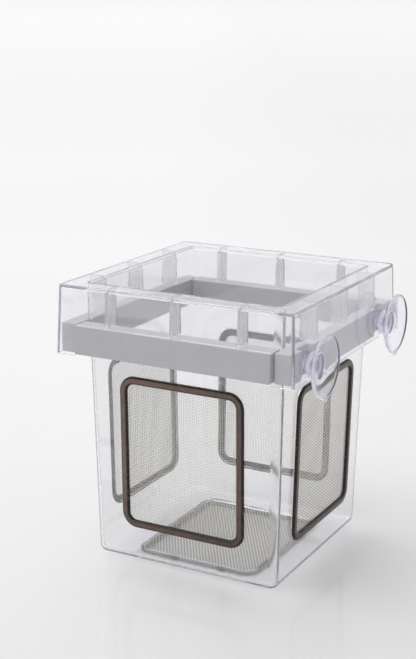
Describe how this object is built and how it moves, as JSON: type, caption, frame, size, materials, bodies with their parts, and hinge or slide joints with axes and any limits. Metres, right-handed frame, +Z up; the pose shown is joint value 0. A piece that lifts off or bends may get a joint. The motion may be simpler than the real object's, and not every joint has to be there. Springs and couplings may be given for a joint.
{
  "type": "fish breeding box",
  "caption": "Clear tub for rearing fish fry, with a wide flanged rim and skirt, mesh windows in brown ring frames, foam floats and suction cups on one side.",
  "frame": {"origin": "under the middle of the whole object, on the surface that the floor's ring frame stands on", "axes": "+Z up, +X towards the side with the suction cups, -Y towards the front, where a float strip sits in the skirt's notch"},
  "size_m": [0.1422, 0.1346, 0.1502],
  "materials": {
    "clear_plastic": "gloss",
    "brown_plastic": "gloss",
    "stainless_mesh": "satin",
    "grey_foam": "matte",
    "soft_vinyl": "gloss"
  },
  "bodies": {
    "box": {"clear_box": "clear_plastic", "front_ring": "brown_plastic", "back_ring": "brown_plastic", "left_ring": "brown_plastic", "right_ring": "brown_plastic", "floor_ring": "brown_plastic", "front_mesh": "stainless_mesh", "back_mesh": "stainless_mesh", "left_mesh": "stainless_mesh", "right_mesh": "stainless_mesh", "floor_mesh": "stainless_mesh"},
    "front_float": {"front_float": "grey_foam"},
    "back_float": {"back_float": "grey_foam"},
    "left_float": {"left_float": "grey_foam"},
    "right_float": {"right_float": "grey_foam"},
    "near_cup": {"near_cup": "soft_vinyl"},
    "far_cup": {"far_cup": "soft_vinyl"}
  },
  "joints": [
    {"name": "front_float_pull", "type": "slide", "parent": "box", "child": "front_float", "axis": [0, -1, 0], "range_m": [0, 0.014]},
    {"name": "back_float_pull", "type": "slide", "parent": "box", "child": "back_float", "axis": [0, 1, 0], "range_m": [0, 0.014]},
    {"name": "left_float_pull", "type": "slide", "parent": "box", "child": "left_float", "axis": [0, 0, -1], "range_m": [0, 0.018]},
    {"name": "right_float_pull", "type": "slide", "parent": "box", "child": "right_float", "axis": [0, 0, -1], "range_m": [0, 0.018]},
    {"name": "near_cup_pull", "type": "slide", "parent": "box", "child": "near_cup", "axis": [0, 0, -1], "range_m": [0, 0.012]},
    {"name": "far_cup_pull", "type": "slide", "parent": "box", "child": "far_cup", "axis": [0, 0, -1], "range_m": [0, 0.012]}
  ]
}
